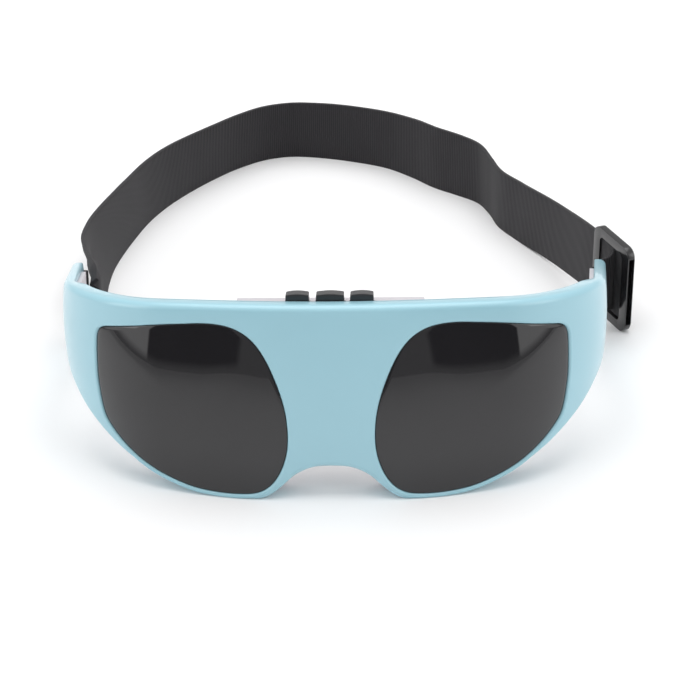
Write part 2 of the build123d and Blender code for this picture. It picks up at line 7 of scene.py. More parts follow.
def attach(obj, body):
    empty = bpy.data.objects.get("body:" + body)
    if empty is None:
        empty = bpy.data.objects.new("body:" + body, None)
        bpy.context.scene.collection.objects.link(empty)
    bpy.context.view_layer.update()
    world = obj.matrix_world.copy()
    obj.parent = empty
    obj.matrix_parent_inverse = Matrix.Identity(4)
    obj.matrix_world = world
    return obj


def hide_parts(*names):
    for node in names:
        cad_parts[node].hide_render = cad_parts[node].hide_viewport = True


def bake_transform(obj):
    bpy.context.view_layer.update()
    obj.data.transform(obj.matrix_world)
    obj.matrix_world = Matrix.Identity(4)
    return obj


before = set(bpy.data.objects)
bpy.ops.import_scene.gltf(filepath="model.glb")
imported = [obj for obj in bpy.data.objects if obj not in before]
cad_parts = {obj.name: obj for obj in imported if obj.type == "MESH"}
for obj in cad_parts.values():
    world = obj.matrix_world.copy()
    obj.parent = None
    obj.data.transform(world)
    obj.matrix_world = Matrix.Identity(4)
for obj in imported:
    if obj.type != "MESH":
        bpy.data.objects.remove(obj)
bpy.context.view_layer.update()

print("frame loaded")

# The mask leans back as it stands; its pieces are shaped upright and then leaned
stance = {"lean": math.radians(12.0), "shift": (-0.0045, -0.12573, 0.0005)}
plan = {"frontRadius": 0.210, "frontHalf": 0.052, "templeRadius": 0.046,
        "armDirection": math.radians(84.5), "armReach": 0.096}


def toUpright(points):
    p = np.asarray(points, float) - np.array(stance["shift"])
    c, s = math.cos(stance["lean"]), math.sin(stance["lean"])
    return np.stack([p[..., 0], p[..., 1] * c - p[..., 2] * s, p[..., 1] * s + p[..., 2] * c], -1)


def toStanding(points):
    p = np.asarray(points, float)
    c, s = math.cos(stance["lean"]), math.sin(stance["lean"])
    q = np.stack([p[..., 0], p[..., 1] * c + p[..., 2] * s, -p[..., 1] * s + p[..., 2] * c], -1)
    return q + np.array(stance["shift"])


def planFacts():
    r, half, t = plan["frontRadius"], plan["frontHalf"], plan["templeRadius"]
    turn = math.asin(half / r)
    centre = (half - t * math.sin(turn), r - r * math.cos(turn) + t * math.cos(turn))
    end = plan["armDirection"]
    arcEnd = (centre[0] + t * math.sin(end), centre[1] - t * math.cos(end))
    return turn, centre, end, arcEnd, r * turn, t * (end - turn)


# height of the case's lower and upper edges against distance along the plan curve, millimetres
edgeHeights = {"lowAt": (0, 7.5, 12, 16, 20.5, 27, 38, 52, 65.6, 81.4, 97.7, 112, 125, 141, 165),
               "low": (11.1, 10.1, 7.6, 3.8, 0.5, -0.5, 0.2, 4.3, 11, 20, 28.6, 31.5, 30.5, 25.5, 20),
               "highAt": (0, 47, 64, 81, 98, 112, 135, 165),
               "high": (62.5, 62, 61.3, 60.6, 59.3, 57.4, 53.6, 48.8)}


def smoothLine(at, values, x, startSlope=None):
    # cubic through given points, with a tangent at each from its neighbours
    at, values = np.asarray(at, float), np.asarray(values, float)
    slopes = np.gradient(values, at)
    if startSlope is not None:
        slopes[0] = startSlope
    x = np.clip(x, at[0], at[-1])
    i = np.clip(np.searchsorted(at, x, side="right") - 1, 0, len(at) - 2)
    h = at[i + 1] - at[i]
    t = (x - at[i]) / h
    return ((2 * t ** 3 - 3 * t ** 2 + 1) * values[i] + (t ** 3 - 2 * t ** 2 + t) * h * slopes[i]
            + (-2 * t ** 3 + 3 * t ** 2) * values[i + 1] + (t ** 3 - t ** 2) * h * slopes[i + 1])


def edgesAt(s):
    run = np.abs(s) * 1000
    return (smoothLine(edgeHeights["lowAt"], edgeHeights["low"], run, 0.0) / 1000,
            smoothLine(edgeHeights["highAt"], edgeHeights["high"], run, 0.0) / 1000)


def onPlan(s, depth, z):
    # upright point at a distance along the case, a depth behind its face and a height
    turn, centre, end, _, front, temple = planFacts()
    r, t = plan["frontRadius"], plan["templeRadius"]
    side, run = np.where(s < 0, -1.0, 1.0), np.abs(s)
    onFront = run <= front
    angle = np.where(onFront, run / r, np.minimum(turn + (run - front) / t, end))
    extra = np.maximum(0.0, run - front - temple)
    x = np.where(onFront, (r - depth) * np.sin(angle),
                 centre[0] + (t - depth) * np.sin(angle) + extra * math.cos(end))
    y = np.where(onFront, r - (r - depth) * np.cos(angle),
                 centre[1] - (t - depth) * np.cos(angle) + extra * math.sin(end))
    return np.stack([side * x, y, z + 0 * x], -1)


def caseLength():
    _, _, end, arcEnd, front, temple = planFacts()
    return front + temple + (plan["armReach"] - arcEnd[1]) / math.sin(end)


def runFromX(x):
    table = np.linspace(0, 0.13, 1301)
    return np.sign(x) * np.interp(np.abs(x), onPlan(table, 0 * table, 0 * table)[:, 0], table)


def crownDepth(s, z):
    # how far the outer face bulges between its lower and upper edges
    low, high = edgesAt(s)
    share = np.clip((z - (low + high) / 2) / ((high - low) / 2), -1, 1)
    return caseShape["crown"] * (1 - share ** 2)


def clearSelection():
    for o in bpy.context.selected_objects:
        o.select_set(False)


def alone(obj):
    clearSelection()
    obj.select_set(True)
    bpy.context.view_layer.objects.active = obj


def applyAll(obj):
    alone(obj)
    for m in list(obj.modifiers):
        bpy.ops.object.modifier_apply(modifier=m.name)


def mergedCopy(name, node, material):
    # copy of a frame node with its loose triangles joined
    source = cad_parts[node]
    obj = bpy.data.objects.new(name, source.data.copy())
    bpy.context.scene.collection.objects.link(obj)
    obj.data.materials.clear()
    obj.data.materials.append(material)
    alone(obj)
    bpy.ops.object.mode_set(mode="EDIT")
    bpy.ops.mesh.select_all(action="SELECT")
    bpy.ops.mesh.remove_doubles(threshold=0.00001)
    bpy.ops.object.mode_set(mode="OBJECT")
    return obj


def roundEdges(obj, width, segments=3, angle=35.0):
    bevel = obj.modifiers.new("edgeRadius", "BEVEL")
    bevel.width, bevel.segments = width, segments
    bevel.limit_method, bevel.angle_limit = "ANGLE", math.radians(angle)
    bevel.use_clamp_overlap = True
    bevel.harden_normals = False
    applyAll(obj)


def smooth(obj, angle=35.0):
    alone(obj)
    bpy.ops.object.shade_smooth_by_angle(angle=math.radians(angle))


def points(obj):
    co = np.zeros(len(obj.data.vertices) * 3)
    obj.data.vertices.foreach_get("co", co)
    return co.reshape(-1, 3)


def setPoints(obj, co):
    obj.data.vertices.foreach_set("co", np.asarray(co, np.float32).ravel())
    obj.data.update()


def stand(obj, body, *nodes):
    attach(obj, body)
    if nodes:
        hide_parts(*nodes)
    return obj


# materials

def newMaterial(name, colour, roughness, metallic=0.0, coat=0.0, coatRoughness=0.05, sheen=0.0,
                specular=0.5, ior=1.5):
    material = bpy.data.materials.new(name)
    material.use_nodes = True
    nodes, links = material.node_tree.nodes, material.node_tree.links
    shader = nodes["Principled BSDF"]
    shader.inputs["Base Color"].default_value = (*colour, 1)
    shader.inputs["Roughness"].default_value = roughness
    shader.inputs["Metallic"].default_value = metallic
    shader.inputs["Coat Weight"].default_value = coat
    shader.inputs["Coat Roughness"].default_value = coatRoughness
    shader.inputs["Sheen Weight"].default_value = sheen
    shader.inputs["Specular IOR Level"].default_value = specular
    shader.inputs["IOR"].default_value = ior
    coords = nodes.new("ShaderNodeTexCoord")
    return material, nodes, links, shader, coords


def noise(nodes, links, coords, scale, detail=3.0):
    n = nodes.new("ShaderNodeTexNoise")
    n.inputs["Scale"].default_value = scale
    n.inputs["Detail"].default_value = detail
    links.new(coords.outputs["Object"], n.inputs["Vector"])
    return n


def ramp(nodes, links, source, stops):
    r = nodes.new("ShaderNodeValToRGB")
    while len(r.color_ramp.elements) < len(stops):
        r.color_ramp.elements.new(0.5)
    for e, (place, colour) in zip(r.color_ramp.elements, stops):
        e.position = place
        e.color = (*colour, 1)
    links.new(source, r.inputs["Fac"])
    return r


def bump(nodes, links, shader, height, strength, distance):
    b = nodes.new("ShaderNodeBump")
    b.inputs["Strength"].default_value = strength
    b.inputs["Distance"].default_value = distance
    links.new(height, b.inputs["Height"])
    links.new(b.outputs["Normal"], shader.inputs["Normal"])


def scaled(value, amount):
    return tuple(min(1.0, c * amount) for c in value)


def moulded(name, colour, roughness, grain=900.0, grainDepth=0.00002, strength=0.15, coat=0.0, spread=0.05,
            specular=0.5, sheen=0.0, metallic=0.0, coatRoughness=0.05, ior=1.5):
    # moulded plastic, rubber or plated metal: slow colour drift, fine grain, uneven gloss
    material, nodes, links, shader, coords = newMaterial(name, colour, roughness, metallic, coat,
                                                         coatRoughness, sheen, specular, ior)
    drift = noise(nodes, links, coords, 22.0, 2.0)
    tone = ramp(nodes, links, drift.outputs["Fac"],
                [(0.3, scaled(colour, 1 - spread)), (0.7, scaled(colour, 1 + spread))])
    links.new(tone.outputs["Color"], shader.inputs["Base Color"])
    fine = noise(nodes, links, coords, grain, 4.0)
    rough = nodes.new("ShaderNodeMapRange")
    rough.inputs["To Min"].default_value = roughness * 0.85
    rough.inputs["To Max"].default_value = roughness * 1.2
    links.new(fine.outputs["Fac"], rough.inputs["Value"])
    links.new(rough.outputs["Result"], shader.inputs["Roughness"])
    bump(nodes, links, shader, fine.outputs["Fac"], strength, grainDepth)
    return material


def elastic(name, rib=0.00085):
    # knitted elastic: transverse ribs along the strap, finer stitches across
    material, nodes, links, shader, coords = newMaterial(name, (0.028, 0.027, 0.030), 0.80, sheen=0.10,
                                                         specular=0.3)
    split = nodes.new("ShaderNodeSeparateXYZ")
    links.new(coords.outputs["UV"], split.inputs["Vector"])

    def wave(axis, period):
        m = nodes.new("ShaderNodeMath")
        m.operation = "MULTIPLY"
        m.inputs[1].default_value = 2 * math.pi / period
        links.new(split.outputs[axis], m.inputs[0])
        w = nodes.new("ShaderNodeMath")
        w.operation = "SINE"
        links.new(m.outputs[0], w.inputs[0])
        half = nodes.new("ShaderNodeMath")
        half.operation = "MULTIPLY_ADD"
        half.inputs[1].default_value = 0.5
        half.inputs[2].default_value = 0.5
        links.new(w.outputs[0], half.inputs[0])
        return half

    ribs, knit = wave("X", rib), wave("Y", rib * 0.62)
    both = nodes.new("ShaderNodeMath")
    both.operation = "MULTIPLY_ADD"
    both.inputs[1].default_value = 0.35
    links.new(knit.outputs[0], both.inputs[0])
    links.new(ribs.outputs[0], both.inputs[2])
    drift = noise(nodes, links, coords, 60.0, 3.0)
    tone = ramp(nodes, links, both.outputs[0],
                [(0.1, (0.014, 0.0135, 0.015)), (0.9, (0.034, 0.032, 0.036))])
    fade = nodes.new("ShaderNodeMix")
    fade.data_type = "RGBA"
    fade.blend_type = "MULTIPLY"
    fade.inputs["Factor"].default_value = 0.6
    mottle = ramp(nodes, links, drift.outputs["Fac"], [(0.3, (0.75, 0.75, 0.76)), (0.75, (1.0, 1.0, 1.0))])
    links.new(tone.outputs["Color"], fade.inputs["A"])
    links.new(mottle.outputs["Color"], fade.inputs["B"])
    links.new(fade.outputs["Result"], shader.inputs["Base Color"])
    bump(nodes, links, shader, both.outputs[0], 0.55, 0.00025)
    return material


finishes = {
    "shellBlue": moulded("shellBlue", (0.335, 0.585, 0.675), 0.30, 260, 0.00001, 0.03, coat=0.4,
                         spread=0.02),
    "lensSmoke": moulded("lensSmoke", (0.0100, 0.0094, 0.0112), 0.035, 300, 0.000002, 0.015,
                         spread=0.1, ior=1.60),
    "coverGrey": moulded("coverGrey", (0.57, 0.545, 0.575), 0.42, 1600, 0.00003, 0.25, spread=0.04),
    "keyBlack": moulded("keyBlack", (0.022, 0.021, 0.023), 0.30, 1500, 0.00003, 0.25, coat=0.15, spread=0.15),
    "sliderBlack": moulded("sliderBlack", (0.016, 0.0155, 0.017), 0.22, 1100, 0.00002, 0.18, coat=0.2,
                           spread=0.15),
    "nubRubber": moulded("nubRubber", (0.62, 0.60, 0.62), 0.55, 1800, 0.00003, 0.3, spread=0.05, sheen=0.1),
    "magnetPlate": moulded("magnetPlate", (0.62, 0.62, 0.63), 0.25, 2500, 0.00001, 0.2, metallic=1.0),
    "trayBlack": moulded("trayBlack", (0.03, 0.03, 0.032), 0.5, 1400, 0.00004, 0.3, spread=0.1),
    "contactMetal": moulded("contactMetal", (0.68, 0.67, 0.64), 0.28, 2600, 0.00001, 0.2, metallic=1.0),
    "chipBlack": moulded("chipBlack", (0.02, 0.02, 0.02), 0.55, 3000, 0.00003, 0.4, spread=0.1),
    "screwSteel": moulded("screwSteel", (0.56, 0.56, 0.58), 0.32, 2600, 0.00001, 0.3, metallic=1.0),
    "motorSteel": moulded("motorSteel", (0.64, 0.64, 0.66), 0.22, 2600, 0.00001, 0.3, metallic=1.0),
    "weightMetal": moulded("weightMetal", (0.42, 0.41, 0.40), 0.4, 2200, 0.00002, 0.4, metallic=1.0),
    "sleeveRubber": moulded("sleeveRubber", (0.045, 0.045, 0.046), 0.65, 1800, 0.00003, 0.3),
    "strapElastic": elastic("strapElastic"),
}


def cellWrap():
    # a plain sleeve, blue on one half and grey on the other
    material, nodes, links, shader, coords = newMaterial("cellWrap", (0.10, 0.23, 0.42), 0.3, coat=0.4)
    split = nodes.new("ShaderNodeSeparateXYZ")
    links.new(coords.outputs["Object"], split.inputs["Vector"])
    bands = ramp(nodes, links, split.outputs["X"],
                 [(0.0, (0.10, 0.23, 0.42)), (0.006, (0.42, 0.43, 0.45))])
    links.new(bands.outputs["Color"], shader.inputs["Base Color"])
    fine = noise(nodes, links, coords, 900.0)
    bump(nodes, links, shader, fine.outputs["Fac"], 0.1, 0.00002)
    return material


def boardGreen():
    material, nodes, links, shader, coords = newMaterial("boardGreen", (0.02, 0.12, 0.055), 0.35, coat=0.3)
    cells = nodes.new("ShaderNodeTexVoronoi")
    cells.distance = "MANHATTAN"
    cells.inputs["Scale"].default_value = 420.0
    links.new(coords.outputs["Object"], cells.inputs["Vector"])
    tone = ramp(nodes, links, cells.outputs["Distance"],
                [(0.35, (0.02, 0.12, 0.055)), (0.5, (0.05, 0.22, 0.09))])
    links.new(tone.outputs["Color"], shader.inputs["Base Color"])
    bump(nodes, links, shader, cells.outputs["Distance"], 0.2, 0.00003)
    return material


def wireSleeve():
    # insulated wire with a slow drift in its red
    material, nodes, links, shader, coords = newMaterial("wireSleeve", (0.42, 0.03, 0.025), 0.45)
    n = noise(nodes, links, coords, 40.0)
    tone = ramp(nodes, links, n.outputs["Fac"], [(0.3, (0.36, 0.025, 0.02)), (0.7, (0.45, 0.035, 0.03))])
    links.new(tone.outputs["Color"], shader.inputs["Base Color"])
    fine = noise(nodes, links, coords, 1400.0)
    bump(nodes, links, shader, fine.outputs["Fac"], 0.15, 0.00002)
    return material


finishes["cellWrap"] = cellWrap()
finishes["boardGreen"] = boardGreen()
finishes["wireSleeve"] = wireSleeve()

nodeFinish = {
    "coverGrey": ("rear_cover", "battery_door"), "trayBlack": ("battery_tray",),
    "cellWrap": ("battery_lower", "battery_upper"), "contactMetal": ("battery_springs", "battery_contacts"),
    "boardGreen": ("circuit_board",), "screwSteel": ("board_screws", "case_screws"),
    "chipBlack": ("controller_chip", "board_parts", "power_switch", "mode_switch", "speed_switch",
                  "power_plunger", "mode_plunger", "speed_plunger"),
    "strapElastic": ("elastic_strap", "strap_return", "strap_end_left", "strap_end_right"),
    "sliderBlack": ("strap_slider",), "shellBlue": ("front_shell",), "lensSmoke": ("lens_left", "lens_right"),
    "keyBlack": ("power_button", "mode_button", "speed_button"),
    "nubRubber": ("massage_studs_left", "massage_studs_right"),
    "magnetPlate": ("stud_magnets_left", "stud_magnets_right"),
    "motorSteel": ("motor_left", "motor_right", "motor_shaft_left", "motor_shaft_right"),
    "weightMetal": ("motor_weight_left", "motor_weight_right"),
    "sleeveRubber": ("motor_sleeve_left", "motor_sleeve_right"),
    "wireSleeve": ("motor_wires_left", "motor_wires_right"),
}
for finish, nodes in nodeFinish.items():
    for node in nodes:
        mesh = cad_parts[node].data
        mesh.materials.clear()
        mesh.materials.append(finishes[finish])
print("finishes set")

# case

caseShape = {"crown": 0.0009, "lip": 0.0019, "rim": 0.0022, "rimDepth": 0.006, "armDepth": 0.0036,
             "panel": 0.002, "step": 0.0013, "levels": 30, "tipRadius": 0.006, "edgeRadius": 0.0005,
             "armFrom": 0.094, "armBlend": 0.010, "arcSteps": 8, "thinLip": 0.0004, "recess": 0.0009,
             "slot": (0.084, 0.088, 0.0285, 0.047)}
lensShape = {"outline": ((72.7, 33), (71.4, 23.4), (68.6, 18.6), (64.1, 13.9), (58.3, 9.5), (51.5, 5.9),
                         (43.8, 3.0), (36.2, 1.7), (28.6, 1.4), (22.9, 2.1), (18.8, 4.7), (15.8, 9.2),
                         (13.8, 15.3), (13.3, 21.8), (14.0, 29.5), (16.1, 37.3), (19.2, 44.9),
                         (22.4, 50.1), (26.2, 53.6), (31, 55.7), (37.4, 56.4), (44.8, 55.9), (53.3, 55.0),
                         (61.2, 53.7), (67.6, 52.5), (70.6, 51.7), (72.1, 50.0), (72.6, 47.2), (72.8, 40)),
             "centre": (43, 31), "sink": 0.0005, "dome": 0.0016, "thickness": 0.0012, "gap": 0.00006,
             "rings": 26, "rimWidth": 0.0010, "rimFoot": 0.0022, "around": 220}


def emptyMesh(name, material, vertices, faces):
    # a primitive gives the object, and its mesh is then rebuilt as rings of points
    clearSelection()
    bpy.ops.mesh.primitive_plane_add(size=0.01)
    obj = bpy.context.active_object
    obj.name = name
    obj.data.name = name
    obj.data.clear_geometry()
    obj.data.from_pydata([tuple(v) for v in vertices], [], faces)
    obj.data.materials.append(material)
    obj.data.validate()
    obj.data.update()
    return obj


def outwards(obj):
    alone(obj)
    bpy.ops.object.mode_set(mode="EDIT")
    bpy.ops.mesh.select_all(action="SELECT")
    bpy.ops.mesh.remove_doubles(threshold=0.000002)
    bpy.ops.mesh.normals_make_consistent(inside=False)
    bpy.ops.object.mode_set(mode="OBJECT")


def ringFaces(count, around, closed):
    # quads between one ring of points and the next
    faces = []
    for i in range(count - 1 if not closed else count):
        j = (i + 1) % count
        for k in range(around):
            m = (k + 1) % around
            faces.append((i * around + k, i * around + m, j * around + m, j * around + k))
    return faces


def caseSection(s):
    # closed outline of the case wall at one distance: depth and height of each point
    low, high = (float(v) for v in edgesAt(np.array(s)))
    length, tip = caseLength(), caseShape["tipRadius"]
    over = abs(s) - (length - tip)
    if over > 0:
        drop = tip - math.sqrt(max(0.0, tip ** 2 - over ** 2))
        low, high = low + drop, high - drop
    blend = min(1.0, max(0.0, (abs(s) - caseShape["armFrom"]) / caseShape["armBlend"]))
    blend = blend * blend * (3 - 2 * blend)
    back = caseShape["rimDepth"] * (1 - blend) + caseShape["armDepth"] * blend
    panel = caseShape["panel"] * (1 - blend) + (caseShape["armDepth"] - 0.00004) * blend
    lip, rim = caseShape["lip"], caseShape["rim"]
    if over > 0:
        lip = max(caseShape["thinLip"], lip * (1 - 0.5 * (over / tip) ** 2))
    small, steps = caseShape["edgeRadius"], caseShape["arcSteps"]
    outline = [(back, low + small), (back - small * 0.3, low + small * 0.3), (back - small, low)]
    for i in range(steps + 1):
        a = math.pi / 2 * i / steps
        outline.append((lip - lip * math.sin(a), low + lip - lip * math.cos(a)))
    for i in range(1, caseShape["levels"]):
        outline.append((0.0, low + lip + (high - low - 2 * lip) * i / caseShape["levels"]))
    for i in range(steps + 1):
        a = math.pi / 2 * i / steps
        outline.append((lip - lip * math.cos(a), high - lip + lip * math.sin(a)))
    outline += [(back - small, high), (back - small * 0.3, high - small * 0.3), (back, high - small),
                (back, high - rim), (panel, high - rim), (panel, low + rim), (back, low + rim)]
    outer = 3 + 2 * (steps + 1) + caseShape["levels"] - 1
    middle, half = (low + high) / 2, (high - low) / 2
    section = []
    for i, (depth, z) in enumerate(outline):
        if 3 <= i < outer:
            share = (z - middle) / half
            depth -= caseShape["crown"] * (1 - share ** 2)
        section.append((s, depth, z))
    return section


def lensOutline(offset=0.0):
    # closed smooth outline of the right lens as (distance, height), moved outwards by an offset
    raw = np.array(lensShape["outline"], float) / 1000
    n = len(raw)
    at = np.arange(-3, n + 4)
    looped = raw[at % n]
    t = np.linspace(0, n, lensShape["around"], endpoint=False)
    line = np.stack([smoothLine(at, looped[:, 0], t), smoothLine(at, looped[:, 1], t)], -1)
    line[:, 0] = runFromX(line[:, 0])
    steps = np.linalg.norm(np.roll(line, -1, 0) - line, axis=1)
    along = np.concatenate([[0], np.cumsum(steps)])
    even = np.linspace(0, along[-1], lensShape["around"], endpoint=False)
    loop = np.vstack([line, line[:1]])
    line = np.stack([np.interp(even, along, loop[:, 0]), np.interp(even, along, loop[:, 1])], -1)
    for _ in range(2):
        line = (np.roll(line, 1, 0) + 2 * line + np.roll(line, -1, 0)) / 4
    along = np.roll(line, -1, 0) - np.roll(line, 1, 0)
    normal = np.stack([along[:, 1], -along[:, 0]], -1)
    normal /= np.linalg.norm(normal, axis=1)[:, None]
    centre = line.mean(0)
    if np.mean(np.sum(normal * (line - centre), 1)) < 0:
        normal = -normal
    return line + normal * offset


def flatPrism(name, outline, near, far):
    # cutter in the unrolled case: distance, depth, height
    n = len(outline)
    vertices = [(p[0], near, p[1]) for p in outline] + [(p[0], far, p[1]) for p in outline]
    faces = [(k, (k + 1) % n, n + (k + 1) % n, n + k) for k in range(n)]
    faces += [tuple(range(n)), tuple(range(2 * n - 1, n - 1, -1))]
    obj = emptyMesh(name, finishes["shellBlue"], vertices, faces)
    outwards(obj)
    return obj


def cutAway(obj, cutter):
    cut = obj.modifiers.new("cut", "BOOLEAN")
    cut.operation, cut.solver, cut.object = "DIFFERENCE", "EXACT", cutter
    applyAll(obj)
    bpy.data.objects.remove(cutter, do_unlink=True)


def bendToCase(obj):
    flat = points(obj)
    standing = toStanding(onPlan(flat[:, 0], flat[:, 1], flat[:, 2]))
    standing[:, 2] = np.maximum(standing[:, 2], 0.0)
    setPoints(obj, standing)


def frontShell():
    length, tip = caseLength(), caseShape["tipRadius"]
    stations = np.concatenate([np.linspace(0, length - tip, int((length - tip) / caseShape["step"])),
                               length - tip + tip * np.sin(np.linspace(0, math.pi / 2, 9)[1:])])
    stations[-1] = length - 0.00002
    stations = np.concatenate([-stations[:0:-1], stations])
    sections = [caseSection(float(s)) for s in stations]
    around = len(sections[0])
    vertices = [p for section in sections for p in section]
    faces = ringFaces(len(sections), around, False)
    faces += [tuple(range(around)), tuple(range(len(vertices) - 1, len(vertices) - around - 1, -1))]
    obj = emptyMesh("frontCase", finishes["shellBlue"], vertices, faces)
    outwards(obj)
    for side in (1, -1):
        outline = lensOutline(lensShape["rimWidth"])
        outline[:, 0] *= side
        cutAway(obj, flatPrism("lensCut", outline, -0.005, 0.004))
        y0, y1, z0, z1 = caseShape["slot"]
        a, b = (side * (length - (plan["armReach"] - y)) for y in (y0, y1))
        cutAway(obj, flatPrism("slotCut", np.array([(a, z0), (b, z0), (b, z1), (a, z1)]), -0.005, 0.008))
        c = side * (length + 0.001)
        cutAway(obj, flatPrism("recessCut", np.array([(b, z0), (c, z0), (c, z1), (b, z1)]), -0.005,
                               caseShape["recess"]))
    rims = [lensRim(side) for side in (1, -1)]
    alone(obj)
    for rim in rims:
        rim.select_set(True)
    bpy.ops.object.join()
    bendToCase(obj)
    smooth(obj, 32)
    return stand(obj, "mask", "front_shell")


def lensRim(side):
    # rounded edge of the lens opening, from the case's face down to the lens
    width, around = lensShape["rimWidth"], lensShape["around"]
    foot = lensShape["rimFoot"]
    profile = [(width + 0.00006, foot), (width + 0.00006, 0.00003)]
    for i in range(9):
        a = math.pi / 2 * i / 8
        profile.append((width - width * math.sin(a), 0.00075 * (1 - math.cos(a))))
    profile += [(0.0, 0.0015), (0.0, foot)]
    vertices = []
    for offset, depth in profile:
        line = lensOutline(offset)
        line[:, 0] *= side
        d = depth - crownDepth(line[:, 0], line[:, 1])
        vertices += [(p[0], dd, p[1]) for p, dd in zip(line, d)]
    obj = emptyMesh("lensRim", finishes["shellBlue"], vertices, ringFaces(len(profile), around, True))
    outwards(obj)
    return obj


def eyeLens(word, side):
    around, rings = lensShape["around"], lensShape["rings"]
    centre = np.array([runFromX(lensShape["centre"][0] / 1000), lensShape["centre"][1] / 1000])
    gap, sink, thick = lensShape["gap"], lensShape["sink"], lensShape["thickness"]
    shares = np.linspace(0.03, 1, rings)
    edge, rim = lensOutline(-gap - 0.0003), lensOutline(-gap)
    vertices = []

    def addRow(line, depth, share=1.0):
        line = np.array(line)
        d = depth - crownDepth(line[:, 0], line[:, 1]) - lensShape["dome"] * (1 - share ** 2)
        vertices.extend([(side * p[0], dd, p[1]) for p, dd in zip(line, d)])

    for share in shares:
        addRow(centre + (edge - centre) * share, sink, share)
    addRow(lensOutline(-gap - 0.00009), sink + 0.00009)
    addRow(rim, sink + 0.0003)
    addRow(rim, sink + thick)
    for share in reversed(shares):
        addRow(centre + (edge - centre) * share, sink + thick, share)
    count = len(vertices) // around
    faces = ringFaces(count, around, False)
    faces += [tuple(range(around)), tuple(range(len(vertices) - 1, len(vertices) - around - 1, -1))]
    obj = emptyMesh("eyeLens_" + word, finishes["lensSmoke"], vertices, faces)
    outwards(obj)
    bendToCase(obj)
    smooth(obj, 50)
    return stand(obj, "mask", "lens_" + word)


frontShell()
eyeLens("left", -1)
eyeLens("right", 1)
print("case made")


def softened(name, node, finish, body, width=0.0005, segments=3, angle=40):
    obj = mergedCopy(name, node, finishes[finish])
    roundEdges(obj, width, segments, angle)
    smooth(obj, 40)
    return stand(obj, body, node)


# strap, laid out in millimetres on the table before the shared shift

strapShape = {"route": ((99.1, 105.0), (92.5, 120.0), (85.6, 135.4), (81.4, 145.0), (77.6, 153.6),
                        (74, 161.5), (67.5, 174), (61, 185.5), (57.5, 196), (52.5, 204.5), (44, 211),
                        (35.5, 218), (26.5, 228.5), (17, 237.5), (4, 244), (-10, 248.3), (-23, 249.5),
                        (-33, 246.5), (-43, 239), (-53, 228), (-62, 216), (-69.5, 204), (-75.5, 191.5),
                        (-80, 178), (-83.5, 165), (-86.2, 152), (-87.4, 140), (-87.6, 129), (-87.0, 119.5),
                        (-85.3, 111.5), (-83.6, 105), (-82.7, 99), (-82.6, 93.5)),
              "thickness": 1.3, "spacing": 1.5, "rows": 22,
              # share of the length: lower edge, upper edge, how far each leans out of the route
              "edges": ((0.0, 3.3, 28.2, 0, 0), (0.07, 3.2, 28.1, 0, 0), (0.13, 1.2, 25.4, 0, 0.4),
                        (0.20, -0.5, 23.4, -1.6, -1.2), (0.26, -0.5, 23.4, -1.2, -1.8),
                        (0.31, -0.5, 25.0, 1.2, 1.4), (0.36, -0.5, 25.2, 0.6, 0.9),
                        (0.42, -0.5, 24.0, -0.3, -0.4), (0.47, -0.5, 23.6, -0.7, -0.8),
                        (0.55, -0.5, 23.2, -0.2, -1.0), (0.62, -0.5, 23.4, 0.3, -1.4),
                        (0.70, -0.5, 24.0, 0.2, 0.0), (0.78, -0.5, 24.4, -0.6, 0.6),
                        (0.84, -0.5, 24.9, -1.2, 1.8), (0.875, -0.5, 25.2, -1.8, 3.2),
                        (0.905, -0.3, 25.6, -2.2, 3.4), (0.93, 3.0, 26.0, -1.4, 1.8),
                        (0.955, 8.2, 26.8, -0.4, 0.6), (0.975, 10.4, 27.6, 0, 0.4), (1.0, 10.8, 27.4, 0, 0)),
              "pleatFrom": 0.885, "pleatTo": 0.975, "pleatDepth": 1.2, "pleats": 3.4, "wander": 0.35}


def tableToStanding(p):
    # table layout in millimetres to the shared frame in metres
    return np.asarray(p, float) / 1000 + np.array(stance["shift"])


def uprightToTable(p):
    return (toStanding(p) - np.array(stance["shift"])) * 1000


def evenRoute(route, spacing, closed=False):
    pts = np.array(route, float)
    if closed:
        pts = np.vstack([pts[-2:], pts, pts[:3]])
    at = np.concatenate([[0], np.cumsum(np.linalg.norm(np.diff(pts, axis=0), axis=1))])
    lo, hi = (at[2], at[-3]) if closed else (at[0], at[-1])
    fine = np.linspace(lo, hi, 4000)
    line = np.stack([smoothLine(at, pts[:, i], fine) for i in range(pts.shape[1])], -1)
    run = np.concatenate([[0], np.cumsum(np.linalg.norm(np.diff(line, axis=0), axis=1))])
    even = np.linspace(0, run[-1], max(8, int(round(run[-1] / spacing))) + 1)
    line = np.stack([np.interp(even, run, line[:, i]) for i in range(pts.shape[1])], -1)
    return line, even


